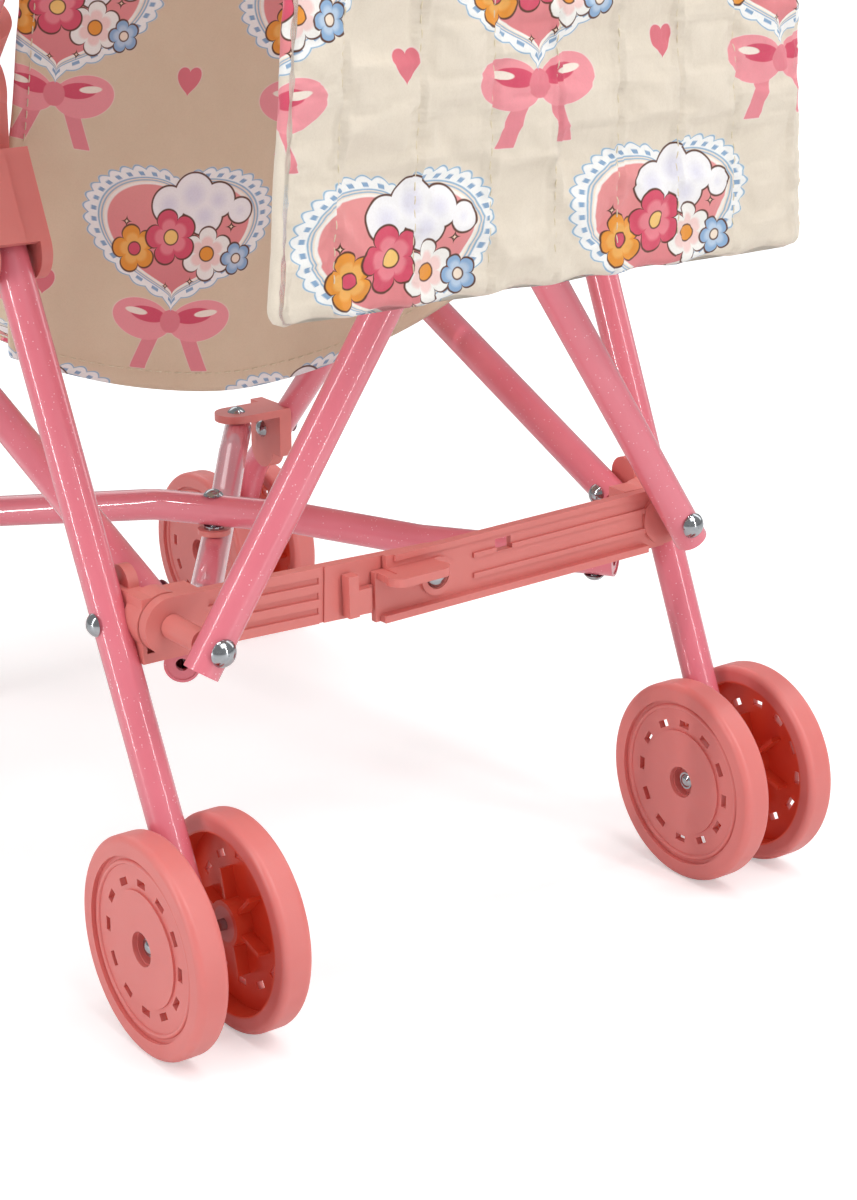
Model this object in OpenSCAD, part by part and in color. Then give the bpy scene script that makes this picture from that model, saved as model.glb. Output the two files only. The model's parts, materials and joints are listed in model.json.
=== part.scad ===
// Folding doll stroller with two side frames joined by scissor tubes.
// X points to the pusher's left, Y points to the rear and Z points up.
// The origin is on the floor, below the middle of the whole stroller.

/* [Wheels] */
// Diameter of each wheel
wheel_d = 76; // [70:1:84]
// Width of one wheel
wheel_w = 11.3; // [10:0.1:12]
// Gap between the two wheels of a pair
wheel_gap = 20.2; // [19:0.1:22]
// Distance from the rear axle to the front axle
wheel_base = 344; // [338:1:352]
// Distance from the middle plane to the middle of a wheel pair
track_half = 116; // [114:0.5:120]

/* [Frame] */
// Outer diameter of every frame tube
tube_d = 12.4; // [11:0.1:12.8]
// Wall thickness of the tubes
tube_wall = 0.9; // [0.7:0.1:1.5]
// Outward lean of the side frames, in mm per mm of height
splay = 0.0236; // [0:0.0001:0.03]
// Height of the handle bend above the floor
handle_z = 528; // [515:1:540]
// Diameter of the grips
grip_d = 21; // [18:0.5:24]

/* [Scissors] */
// Distance from the middle plane to the pins of the rear scissors
pin_x = 105; // [104:0.5:106]
// Height of the lower pins of the rear scissors
pin_z = 134.5; // [134:0.5:136]
// Height of the upper pins of the rear scissors
top_pin_z = 453; // [445:1:458]
// Distance from the middle plane to the pins of the lower scissors
low_pin_x = 90; // [88:0.5:91]

/* [Fabric] */
// Width of the bag behind the backrest
bag_w = 211; // [200:1:216]
// Height of the bag
bag_h = 200; // [180:1:204]
// Thickness of the bag
bag_t = 15; // [12:0.5:18]
// Thickness of the cloth of the seat and the backrest
cloth_t = 3; // [2:0.5:4]

/* [Hidden] */
$fn = 48;

paint = "#dc7a86";
plastic = "#d87f76";
deep_plastic = "#d9705f";
cloth = "#efe4d0";
chrome = "#c8ccd0";

// Wheels and axles
wheel_r = wheel_d / 2;
rear_axle_y = wheel_base / 2 - 28;
front_axle_y = rear_axle_y - wheel_base;
hub_recess = 5.4;
axle_d = 4;
run_gap = 0.05;

// Side frame: x at a given height
function side_x(z) = track_half + splay * (z - wheel_r);
function side_point(y, z) = [side_x(z), y, z];

// Main tube, from the front axle to the end of the handle
front_end_y = front_axle_y - wheel_r;
grip_cap = 2.42;
handle_end_y = -front_end_y - grip_cap;
knee = [-184, 80];
elbow = [52, 340];
upper_slope = 0.52;
handle_y = elbow[0] + upper_slope * (handle_z - elbow[1]);
grip_drop = 0.14;
handle_end_z = handle_z - grip_drop * (handle_end_y - handle_y);
function main_y(z) = z < elbow[1]
    ? knee[0] + (z - knee[1]) * (elbow[0] - knee[0]) / (elbow[1] - knee[1])
    : elbow[0] + upper_slope * (z - elbow[1]);
main_path = [
    side_point(front_axle_y - 3.6, wheel_r - 9.5),
    side_point(knee[0], knee[1]),
    side_point(elbow[0], elbow[1]),
    side_point(handle_y, handle_z),
    side_point(handle_end_y, handle_end_z)
];
main_bends = [40, 90, 32];
bracket_z = 305;

// Rear leg
leg_slope = -0.4647;
function leg_y(z) = rear_axle_y + leg_slope * (z - wheel_r);
leg_top_z = 274;
leg_pin_z = 134;
leg_bracket_z = 268;

// Seat rail
rail_rear = [100.4, 93, 137.9];
rail_front = [105.6, -146, 240];
function rail_t(y) = (y - rail_rear[1]) / (rail_front[1] - rail_rear[1]);
function rail_point(y) = rail_rear + rail_t(y) * (rail_front - rail_rear);
rail_slope = (rail_front[2] - rail_rear[2]) / (rail_rear[1] - rail_front[1]);
tube_slope = (elbow[0] - knee[0]) / (elbow[1] - knee[1]);
rail_cross_z = (rail_rear[2] + rail_slope * (rail_rear[1] - knee[0] + tube_slope * knee[1]))
    / (1 + rail_slope * tube_slope);
rail_cross_y = main_y(rail_cross_z);

// Planes of the rear scissor tubes and of the lock bar
plane_a = 142;
plane_b = 129;
block_rear_y = 112;
pin_front_y = 103;
pin_d = 5;
bar_left_y = 112.3;
bar_left_t = 4.2;
bar_right_y = 116.8;
bar_right_t = 2.5;
bar_drop = 2.5;
top_gap = 0.3;

// Lower scissor tubes
low_rear_y = 98;
low_front_y = -154.5;
low_rear_z = 115;
low_front_z = 107.4;
low_e_z = 119;
low_f_z = 103;
plate_z = low_front_z + tube_d / 2 + 0.4;
plate_t = 3.4;
lug_z = 105.4;

// Rivets
rivet_d = 4;
head_d = 8;
head_h = 2.4;

// A round bar from point a to point b
module rod(a, b, d) {
    v = b - a;
    len = norm(v);
    translate(a)
        rotate([0, acos(v[2] / len), atan2(v[1], v[0])])
            cylinder(h = len, d = d);
}

function unit(v) = v / norm(v);
function bend_angle(u, v) = acos(min(1, u * v));
function bend_side(u, v) = unit(v - (u * v) * u);
function tangent_len(u, v, r) = r * tan(bend_angle(u, v) / 2);

// Each straight length laps a little into the bends, which are a hair thinner
lap = 0.4;
bend_step = 0.05;

// One bend of a tube at point p, from direction u to direction v
module bend(p, u, v, r, d) {
    n = bend_side(u, v);
    c = p - tangent_len(u, v, r) * u + r * n;
    w = cross(u, n);
    multmatrix([
        [-n[0], u[0], w[0], c[0]],
        [-n[1], u[1], w[1], c[1]],
        [-n[2], u[2], w[2], c[2]]
    ])
        rotate_extrude(angle = bend_angle(u, v))
            translate([r, 0])
                circle(d = d - bend_step);
}

// A round bar along the points, with a bend of the given radius at each inner point
module bent_rod(points, bends, d, extra = 0) {
    last = len(points) - 1;
    dirs = [for (i = [0:last - 1]) unit(points[i + 1] - points[i])];
    for (i = [0:last - 1]) {
        cut_a = i == 0 ? -extra : tangent_len(dirs[i - 1], dirs[i], bends[i - 1]) - lap;
        cut_b = i == last - 1 ? -extra : tangent_len(dirs[i], dirs[i + 1], bends[i]) - lap;
        rod(points[i] + cut_a * dirs[i], points[i + 1] - cut_b * dirs[i], d);
    }
    for (i = [1:last - 1])
        bend(points[i], dirs[i - 1], dirs[i], bends[i - 1], d);
}

// A hollow tube along the points, open at both ends
module bent_tube(points, bends) {
    difference() {
        bent_rod(points, bends, tube_d);
        bent_rod(points, bends, tube_d - 2 * tube_wall, 1);
    }
}

// A straight hollow tube, open at both ends
module straight_tube(a, b) {
    u = unit(b - a);
    difference() {
        rod(a, b, tube_d);
        rod(a - u, b + u, tube_d - 2 * tube_wall);
    }
}

// A domed rivet head that stands on the XY plane
module dome(d, h) {
    r = (d * d / 4 + h * h) / (2 * h);
    intersection() {
        translate([0, 0, h - r])
            sphere(r = r, $fn = 64);
        cylinder(h = h, d = d);
    }
}

// Places a child that lies along Z so that it lies along X, Y or Z from point p
module along_x(p) {
    translate(p) rotate([0, 90, 0]) children();
}
module along_y(p) {
    translate(p) rotate([-90, 0, 0]) children();
}

// A box from corner a to corner b
module box(a, b) {
    translate(a) cube(b - a);
}

// ---- side frame, drawn for the left side ----

bracket_x = side_x(leg_bracket_z);
housing_w = 23;
rail_cross = rail_point(rail_cross_y);
lug_x = 107;
tube_r = tube_d / 2;

// X-axis rivets of a side frame: [x start, y, z, grip, inner head, outer head]
side_rivets = [
    [rail_rear[0] - tube_r - 0.1, rail_rear[1], rail_rear[2], 17, true, false],
    [lug_x + 1.2, leg_y(leg_pin_z), leg_pin_z, side_x(leg_pin_z) + tube_r - lug_x - 1.2, false, true],
    [bracket_x - housing_w / 2, leg_y(leg_bracket_z), leg_bracket_z, housing_w, true, true],
    [side_x(bracket_z) - 11, main_y(bracket_z), bracket_z, 22, true, true],
    [rail_cross[0] - tube_r, rail_cross_y, rail_cross_z,
        side_x(rail_cross_z) - rail_cross[0] + tube_d, true, true],
    [lug_x + 0.4, main_y(lug_z), lug_z, side_x(lug_z) + tube_r - lug_x - 0.4, true, true]
];

module side_rivet_holes() {
    for (r = side_rivets)
        along_x([r[0] - (r[4] ? 1 : 0), r[1], r[2]])
            cylinder(h = r[3] + (r[4] ? 1 : 0) + (r[5] ? 1 : 0), d = rivet_d);
}

module side_rivet_set() {
    for (r = side_rivets)
        along_x([r[0], r[1], r[2]]) {
            cylinder(h = r[3], d = rivet_d);
            if (r[5])
                translate([0, 0, r[3]])
                    dome(head_d, head_h);
            if (r[4])
                mirror([0, 0, 1])
                    dome(head_d, head_h);
        }
}

module axle_hole(y) {
    along_x([track_half - 10, y, wheel_r])
        cylinder(h = 20, d = axle_d);
}

module main_tube() {
    difference() {
        bent_tube(main_path, main_bends);
        axle_hole(front_axle_y);
        side_rivet_holes();
    }
}

module rear_leg() {
    foot = side_point(leg_y(wheel_r - 9), wheel_r - 9);
    difference() {
        straight_tube(foot, side_point(leg_y(leg_top_z), leg_top_z));
        axle_hole(rear_axle_y);
        side_rivet_holes();
    }
}

module seat_rail() {
    u = unit(rail_rear - rail_front);
    difference() {
        straight_tube(rail_front, rail_rear + 5 * u);
        side_rivet_holes();
    }
}

// The grip is a sleeve with finger ridges and a rounded end over the handle's end
module grip() {
    start = side_point(handle_y + 32, handle_z - grip_drop * 32);
    end = side_point(handle_end_y, handle_end_z);
    v = end - start;
    len = norm(v);
    difference() {
        translate(start)
            rotate([0, acos(v[2] / len), atan2(v[1], v[0])]) {
                cylinder(h = len - 4, d = grip_d - 3);
                translate([0, 0, len - 6])
                    rotate_extrude()
                        intersection() {
                            union() {
                                translate([grip_d / 2 - 4, 3.5])
                                    circle(r = 4);
                                square([grip_d / 2 - 4, 7.5]);
                                square([grip_d / 2, 3.5]);
                            }
                            square([grip_d, 7.5]);
                        }
                for (i = [0:5])
                    translate([0, 0, 3 + i * 7])
                        rotate_extrude()
                            translate([grip_d / 2 - 2.5, 0])
                                circle(r = 2.5);
            }
        rod(start - v, end, tube_d);
    }
}

module side_bracket() {
    tilt = atan(-leg_slope);
    ear_z = -21.5;
    ear_r = 10;
    housing_top = 10.3;
    boss = side_point(main_y(bracket_z), bracket_z);
    difference() {
        union() {
            translate(side_point(leg_y(leg_bracket_z), leg_bracket_z))
                rotate([tilt, 0, 0]) {
                    translate([-housing_w / 2, -ear_r, ear_z])
                        cube([housing_w, 2 * ear_r, housing_top - ear_z]);
                    for (s = [-1, 1])
                        translate([s * (housing_w / 2 - 2), 0, ear_z])
                            rotate([0, 90, 0])
                                cylinder(h = 4, r = ear_r, center = true);
                    // raised band on the rear face
                    translate([-2, 9, ear_z])
                        cube([housing_w / 2 + 2, 2, housing_top - ear_z - 1]);
                }
            rod(side_point(main_y(286), 286), side_point(main_y(324), 324), 22);
            // round boss and neck between the clamp and the housing
            along_x([boss[0] - 11, boss[1], bracket_z - 7])
                cylinder(h = 22, r = 12);
            box([boss[0] - 11, boss[1] - 5, 271], [boss[0] + 11, boss[1] + 11.5, bracket_z - 7]);
        }
        translate(side_point(leg_y(leg_bracket_z), leg_bracket_z))
            rotate([tilt, 0, 0]) {
                // cavity that holds the top of the leg
                translate([-housing_w / 2 + 4, -6.8, -40])
                    cube([housing_w - 8, 13.8, 40 + housing_top - 2]);
                // the rear and front walls stop above the ears
                translate([-housing_w / 2 + 4, -20, -40])
                    cube([housing_w - 8, 40, 14.3]);
            }
        rod(side_point(main_y(200), 200), side_point(main_y(336), 336), tube_d);
        side_rivet_holes();
    }
}

module corner_block() {
    leg_a = side_point(leg_y(100), 100);
    leg_b = side_point(leg_y(160), 160);
    difference() {
        union() {
            box([83, 88, 121.5], [113.5, 103, 129]);
            box([92, 102.8, 121.5], [113.5, block_rear_y, 144]);
            box([lug_x, 88, 121.5], [113.5, 103, 144]);
            along_x([lug_x, rail_rear[1], 144])
                cylinder(h = 4, d = 13);
            along_y([pin_x, 102.8, pin_z])
                cylinder(h = block_rear_y - 102.8, r = 10.5);
        }
        rod(leg_a, leg_b, tube_d);
        side_rivet_holes();
        along_y([pin_x, pin_front_y, pin_z])
            cylinder(h = 20, d = pin_d);
        translate([low_pin_x, low_rear_y, 120])
            cylinder(h = 20, d = rivet_d);
        // moulded recess on the outer part of the rear face
        box([108.5, 109.5, 125], [112, 113, 140]);
    }
}

module front_bracket() {
    top = plate_z + plate_t;
    difference() {
        union() {
            box([low_pin_x - 1, low_front_y - 9, plate_z], [111, low_front_y + 9, top]);
            translate([low_pin_x - 1, low_front_y, plate_z])
                cylinder(h = plate_t, r = 9);
            box([107.4, main_y(lug_z) - 9, lug_z - 10], [113.5, low_front_y + 9, top]);
            along_x([107.4, main_y(lug_z), lug_z - 9])
                cylinder(h = 6.1, r = 9);
        }
        rod(side_point(main_y(77), 77), side_point(main_y(140), 140), tube_d);
        side_rivet_holes();
        translate([low_pin_x, low_front_y, plate_z - 10])
            cylinder(h = 40, d = rivet_d);
    }
}

// Clamp on the main tube with a plate just in front of a rear scissor tube's top
module upper_bracket(plane) {
    plate_rear = plane - tube_d / 2 - top_gap;
    c = side_point(main_y(top_pin_z), top_pin_z);
    difference() {
        union() {
            rod(side_point(main_y(442), 442), side_point(main_y(464), 464), 18);
            box([96, plate_rear - 3.6, top_pin_z - 10], [c[0], plate_rear, top_pin_z + 10]);
            along_y([96, plate_rear - 3.6, top_pin_z])
                cylinder(h = 3.6, r = 10);
            box([c[0] - 8, main_y(top_pin_z), top_pin_z - 8],
                [c[0] + 4, plate_rear, top_pin_z + 8]);
        }
        rod(side_point(main_y(400), 400), side_point(main_y(490), 490), tube_d);
    }
}

module frame_rivets() {
    side_rivet_set();
    // heads of the lower scissor pivots on top of the corner block
    translate([low_pin_x, low_rear_y, 121.5])
        cylinder(h = 7.5, d = rivet_d);
    translate([low_pin_x, low_rear_y, 129])
        dome(head_d - 1, head_h);
}

// Pin of the lower scissors under the front bracket
module low_pin() {
    foot = low_front_z - tube_d / 2 - 0.3;
    translate([low_pin_x, low_front_y, foot])
        cylinder(h = plate_z + plate_t - foot, d = rivet_d);
    translate([low_pin_x, low_front_y, plate_z + plate_t])
        dome(head_d, head_h);
    translate([low_pin_x, low_front_y, foot])
        mirror([0, 0, 1])
            dome(head_d, head_h);
}

// Pin of the rear scissors, held in the corner block
module scissor_pin(plane) {
    head_y = plane + tube_r + 0.3;
    along_y([pin_x, pin_front_y, pin_z])
        cylinder(h = head_y - pin_front_y, d = pin_d);
    along_y([pin_x, head_y, pin_z])
        dome(9.5, 3);
}

module axle(y) {
    seat = wheel_gap / 2 + wheel_w - hub_recess + 0.1;
    half = seat + 2;
    along_x([track_half - half, y, wheel_r])
        cylinder(h = 2 * half, d = axle_d);
    for (s = [0, 1])
        translate([track_half, y, wheel_r])
            mirror([s, 0, 0])
                rotate([0, 90, 0]) {
                    translate([0, 0, seat])
                        cylinder(h = 2, d = 6.4);
                    translate([0, 0, half])
                        dome(5.2, 1);
                }
}

module rail_spacer() {
    x0 = rail_cross[0] + tube_r;
    x1 = side_x(rail_cross_z) - tube_r;
    along_x([x0 + 0.1, rail_cross_y, rail_cross_z])
        difference() {
            cylinder(h = x1 - x0 - 0.2, d = 11);
            translate([0, 0, -1])
                cylinder(h = x1 - x0 + 2, d = rivet_d);
        }
}

module tube_plugs() {
    u = unit(rail_front - rail_rear);
    plug_d = tube_d - 2 * tube_wall;
    rod(rail_front - 8 * u, rail_front, plug_d);
    rod(rail_front, rail_front + 2 * u, tube_d);
    for (p = [[main_path[0], main_path[1]],
              [side_point(leg_y(wheel_r - 9), wheel_r - 9), side_point(leg_y(60), 60)]]) {
        v = unit(p[1] - p[0]);
        rod(p[0], p[0] + 4 * v, plug_d);
        rod(p[0] - 2 * v, p[0], tube_d);
    }
}

// ---- wheels ----

// Half section of a wheel: radius along X, width along Y, with the open side at Y = 0
module wheel_section() {
    w = wheel_w;
    r = wheel_r;
    difference() {
        union() {
            // tyre band with rounded shoulders
            translate([r - 6.5, 2.5]) square([6.5, w - 5]);
            translate([r - 6.5, 0]) square([4, w]);
            translate([r - 2.5, 2.5]) circle(r = 2.5);
            translate([r - 2.5, w - 2.5]) circle(r = 2.5);
            // web
            translate([6, w - 4.2]) square([r - 12, 2.6]);
            // raised disc inside the slots
            translate([6, w - 4.2]) square([14, 3.4]);
            translate([19.2, w - 1.6]) circle(r = 0.8);
            // hub
            translate([axle_d / 2 + run_gap, 0.8]) square([6, w - 3.4]);
            // two thin rings on the web
            translate([29.2, w - 1.7]) circle(r = 0.9);
            translate([31.4, w - 1.7]) square([1.2, 1]);
        }
        translate([0, w - hub_recess]) square([5.6, hub_recess + 1]);
    }
}

// A wheel on the X axis, with its closed side towards +X and its open side at x = 0
module wheel() {
    slot_r = 22.8;
    rotate([0, 90, 0])
        difference() {
            union() {
                rotate_extrude($fn = 96)
                    wheel_section();
                for (i = [0:5])
                    rotate([0, 0, 60 * i + 15])
                        translate([6.5, -0.7, 2.5])
                            cube([12, 1.4, wheel_w - 6]);
            }
            for (i = [0:11])
                rotate([0, 0, 30 * i])
                    translate([slot_r - 1.3, -2.5, -1])
                        cube([2.6, 5, wheel_w + 2]);
        }
}

// A wheel of a pair: side is 1 for the outer wheel and -1 for the inner one
module pair_wheel(y, side) {
    translate([track_half + side * (wheel_gap / 2), y, wheel_r])
        mirror([side < 0 ? 1 : 0, 0, 0])
            wheel();
}

// ---- scissors ----

half_angle = atan(2 * pin_x / (top_pin_z - pin_z));
scissor_len = norm([2 * pin_x, top_pin_z - pin_z]);

// A rear scissor tube that starts at the left pin, in the plane y = plane
module rear_scissor_tube(plane) {
    translate([pin_x, plane, pin_z])
        rotate([0, -half_angle, 0])
            difference() {
                translate([0, 0, -9])
                    cylinder(h = scissor_len + 17, d = tube_d);
                translate([0, 0, -10])
                    cylinder(h = scissor_len + 19, d = tube_d - 2 * tube_wall);
                for (z = [scissor_len / 2, scissor_len])
                    translate([0, 0, z])
                        rotate([90, 0, 0])
                            cylinder(h = 20, d = rivet_d, center = true);
                rotate([90, 0, 0])
                    cylinder(h = 20, d = pin_d + 2 * run_gap, center = true);
            }
}

// Crossing rivet and top rivet of a rear scissor tube, each with a head on one side:
// 1 is the rear side and -1 the front side
module scissor_rivets(plane, cross_side, top_side) {
    translate([pin_x, plane, pin_z])
        rotate([0, -half_angle, 0])
            for (r = [[scissor_len / 2, cross_side], [scissor_len, top_side]])
                translate([0, 0, r[0]])
                    rotate([-90 * r[1], 0, 0])
                        translate([0, 0, -tube_r]) {
                            cylinder(h = tube_d, d = rivet_d);
                            translate([0, 0, tube_d])
                                dome(head_d, head_h);
                        }
}

function low_point(t, z) = [low_pin_x * (1 - 2 * t), low_front_y + t * (low_rear_y - low_front_y), z];
low_len = norm([2 * low_pin_x, low_rear_y - low_front_y]);
low_u = [-2 * low_pin_x / low_len, (low_rear_y - low_front_y) / low_len, 0];
low_e_path = [
    low_point(0, low_front_z) - 8 * low_u,
    low_point(0.15, low_front_z),
    low_point(0.42, low_e_z),
    low_point(0.61, low_e_z),
    low_point(0.775, low_rear_z),
    low_point(1, low_rear_z) + 8 * low_u
];
low_f_path = [
    low_point(0, low_front_z) - 8 * low_u,
    low_point(0.12, low_front_z),
    low_point(0.3, low_f_z),
    low_point(0.7, low_f_z),
    low_point(0.88, low_rear_z),
    low_point(1, low_rear_z) + 8 * low_u
];

// A lower scissor tube that starts under the left front bracket
module low_scissor_tube(path, drill) {
    end = path[len(path) - 1];
    difference() {
        union() {
            bent_tube(path, [for (p = path) 60]);
            // end wall pressed into the rear end
            rod(end - 2.4 * low_u, end - 0.4 * low_u, tube_d - tube_wall);
        }
        rod(end - 4 * low_u, end + low_u, 4.4);
        translate([low_pin_x, low_front_y, 0])
            cylinder(h = 200, d = rivet_d + 2 * run_gap);
        translate([-low_pin_x, low_rear_y, 0])
            cylinder(h = 200, d = rivet_d);
        if (drill)
            translate([0, (low_front_y + low_rear_y) / 2, 0])
                cylinder(h = 200, d = rivet_d);
    }
}

// Rivet at the free rear end of a lower scissor tube
module low_end_rivet() {
    translate([-low_pin_x, low_rear_y, low_rear_z - tube_d / 2])
        cylinder(h = tube_d, d = rivet_d);
    translate([-low_pin_x, low_rear_y, low_rear_z - tube_d / 2])
        mirror([0, 0, 1])
            dome(head_d, head_h);
}

// Crossing rivet of the lower scissors: it hangs below tube E by a collar and a washer
cross_gap = low_e_z - low_f_z - tube_d - 0.3;
collar_t = 1.2;
module low_cross_rivet() {
    translate([0, (low_front_y + low_rear_y) / 2, low_e_z - tube_d / 2]) {
        translate([0, 0, -cross_gap])
            cylinder(h = tube_d + cross_gap, d = rivet_d);
        translate([0, 0, -collar_t])
            cylinder(h = collar_t, d = head_d);
        translate([0, 0, tube_d])
            dome(head_d, head_h);
    }
}

module low_cross_washer() {
    translate([0, (low_front_y + low_rear_y) / 2, low_e_z - tube_d / 2 - cross_gap])
        difference() {
            cylinder(h = cross_gap - collar_t, d = 13);
            translate([0, 0, -1])
                cylinder(h = cross_gap + 2, d = rivet_d);
        }
}

// ---- lock bar ----

bar_len = norm([pin_x, bar_drop]);
bar_angle = atan(bar_drop / pin_x);

// Left half: a grooved plate from the left pin past the middle pivot
module lock_bar_left_half() {
    h = 20;
    translate([pin_x, bar_left_y, pin_z])
        rotate([0, -bar_angle, 0])
            difference() {
                union() {
                    translate([-bar_len, 0, -h / 2])
                        cube([bar_len, bar_left_t, h]);
                    for (x = [0, -bar_len])
                        along_y([x, 0, 0])
                            cylinder(h = bar_left_t, d = h);
                }
                along_y([0, -1, 0])
                    cylinder(h = 10, d = pin_d + 2 * run_gap);
                // grooves along the visible face
                for (z = [-6.6, -1.2, 4.2])
                    translate([-58, bar_left_t - 1.2, z])
                        cube([44, 2, 2.4]);
                translate([-60, bar_left_t - 0.7, -h / 2 - 1])
                    cube([2, 2, h + 2]);
            }
}

// Right half: a flanged bar with a press tab and a snap catch
module lock_bar_right_half() {
    h = 23;
    tip = 26;
    translate([-pin_x, bar_right_y, pin_z])
        rotate([0, bar_angle, 0])
            difference() {
                union() {
                    translate([0, 0, -h / 2])
                        cube([bar_len + tip, bar_right_t, h]);
                    along_y([0, bar_left_y - bar_right_y, 0])
                        cylinder(h = bar_right_y - bar_left_y + 3.7, d = 21);
                    // flanges: the lower one is deeper
                    translate([10, 0, -h / 2])
                        cube([bar_len + 14, bar_right_t + 3.2, 2.6]);
                    translate([8, 0, h / 2 - 2.2])
                        cube([bar_len + 10, bar_right_t + 1.2, 2.2]);
                    // raised bands
                    for (z = [-4.6, 3])
                        translate([8, 0, z])
                            cube([bar_len - 24, bar_right_t + 0.9, 1.8]);
                    // boss of the middle pivot
                    along_y([bar_len, 0, 0])
                        cylinder(h = bar_right_t + 1.2, d = 14);
                    // press tab
                    translate([bar_len + 2, bar_right_t, 4])
                        cube([23, 8, 3]);
                    translate([bar_len + 6, bar_right_t, 4])
                        cube([15, 13, 3]);
                    for (x = [6, 21])
                        translate([bar_len + x, bar_right_t + 8, 4])
                            cylinder(h = 3, r = 5);
                    // snap catch beyond the end, joined by a thin web
                    translate([bar_len + tip, 0, -7])
                        cube([3, 1.2, 9]);
                    translate([bar_len + tip + 2, 0, -7])
                        cube([10, bar_right_t + 0.8, 9]);
                    translate([bar_len + tip + 8, 0, -7])
                        cube([4, bar_right_t + 2, 15]);
                }
                along_y([0, -10, 0])
                    cylinder(h = 20, d = pin_d + 2 * run_gap);
                along_y([bar_len, -1, 0])
                    cylinder(h = 10, d = rivet_d);
                along_y([bar_len, bar_right_t + 0.4, 0])
                    cylinder(h = 5, d = 9.6);
                // notch above the catch and latch window
                translate([bar_len + tip - 5, -1, h / 2 - 5])
                    cube([10, 10, 10]);
                translate([bar_len - 33, -1, 3.2])
                    cube([7, 10, 4.4]);
            }
}

module lock_bar_rivet() {
    translate([-pin_x, bar_right_y, pin_z])
        rotate([0, bar_angle, 0]) {
            along_y([bar_len, 0, 0])
                cylinder(h = bar_right_t + 0.4, d = rivet_d);
            along_y([bar_len, bar_right_t + 0.4, 0])
                dome(9, 2.6);
        }
}

// ---- fabric ----

function left_of(v) = [-v[1], v[0]];
function mitre(points, i) =
    let (last = len(points) - 1,
         n1 = left_of(unit(points[max(i, 1)] - points[max(i, 1) - 1])),
         n2 = left_of(unit(points[min(i, last - 1) + 1] - points[min(i, last - 1)])))
    (n1 + n2) / (1 + n1 * n2);

// A strip of cloth of even thickness along points in the YZ plane
module cloth_strip(points, half_w) {
    last = len(points) - 1;
    translate([-half_w, 0, 0])
        rotate([90, 0, 90])
            linear_extrude(2 * half_w)
                polygon(concat(
                    [for (i = [0:last]) points[i] + cloth_t / 2 * mitre(points, i)],
                    [for (i = [last:-1:0]) points[i] - cloth_t / 2 * mitre(points, i)]
                ));
}

seat_half_w = 93;
seat_line = [[-4, 180], [-50, 178], [-100, 197], [-148, 232]];
back_half_w = 108.5;
back_line = [[2, 179], [10, 210], [16, 250], [30, 320], [92, 425]];

module bag_outline(w, h, r) {
    translate([-w / 2, r]) square([w, h - r]);
    translate([-w / 2 + r, 0]) square([w - 2 * r, h]);
    for (s = [-1, 1])
        translate([s * (w / 2 - r), r]) circle(r = r);
}

bag_rear_y = 183;
bag_z = 244;
module bag_body() {
    difference() {
        translate([0, bag_rear_y, bag_z])
            rotate([90, 0, 0])
                linear_extrude(bag_t)
                    bag_outline(bag_w, bag_h, 12);
        translate([0, bag_rear_y - 2, bag_z + 3])
            rotate([90, 0, 0])
                linear_extrude(bag_t - 4)
                    bag_outline(bag_w - 6, bag_h, 10);
    }
}

// Strap that hangs the bag from the handle tube
strap_w = 10;
module bag_strap_body() {
    y = bag_rear_y - bag_t / 2;
    top = [side_x(handle_z), y, handle_z - grip_drop * (y - handle_y)];
    low = [bag_w / 2 - 8, y, bag_z + bag_h + 1.6];
    difference() {
        union() {
            hull() {
                translate(low)
                    cube([14, strap_w, 2], center = true);
                translate(top - [6, 0, 6])
                    cube([3, strap_w, 2], center = true);
            }
            along_y([top[0], y - strap_w / 2, top[2]])
                cylinder(h = strap_w, d = tube_d + 7);
        }
        bent_rod(main_path, main_bends, tube_d + 0.6);
    }
}

// ---- nodes ----

module left_main_tube() { color(paint) main_tube(); }
module left_grip() { color(plastic) grip(); }
module left_rear_leg() { color(paint) rear_leg(); }
module left_side_bracket() { color(plastic) side_bracket(); }
module left_seat_rail() { color(paint) seat_rail(); }
module left_corner_block() { color(plastic) corner_block(); }
module left_front_bracket() { color(plastic) front_bracket(); }
module left_upper_bracket() { color(plastic) upper_bracket(plane_b); }
module left_frame_rivets() { color(chrome) frame_rivets(); }
module left_rear_axle() { color(chrome) axle(rear_axle_y); }
module left_front_axle() { color(chrome) axle(front_axle_y); }
module left_rear_outer_wheel() { color(plastic) pair_wheel(rear_axle_y, 1); }
module left_rear_inner_wheel() { color(plastic) pair_wheel(rear_axle_y, -1); }
module left_front_outer_wheel() { color(plastic) pair_wheel(front_axle_y, 1); }
module left_front_inner_wheel() { color(plastic) pair_wheel(front_axle_y, -1); }
module left_scissor_pin() { color(chrome) scissor_pin(plane_a); }
module left_scissor_spacer() {
    y0 = bar_left_y + bar_left_t + 0.3;
    y1 = plane_a - tube_d / 2 - 0.3;
    color(plastic)
        along_y([pin_x, y0, pin_z])
            difference() {
                cylinder(h = y1 - y0, d = 8.4);
                translate([0, 0, -1])
                    cylinder(h = y1 - y0 + 2, d = pin_d);
            }
}
module left_low_pin() { color(chrome) low_pin(); }
module left_tube_plugs() { color(deep_plastic) tube_plugs(); }
module left_rail_spacer() { color(plastic) rail_spacer(); }

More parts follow.
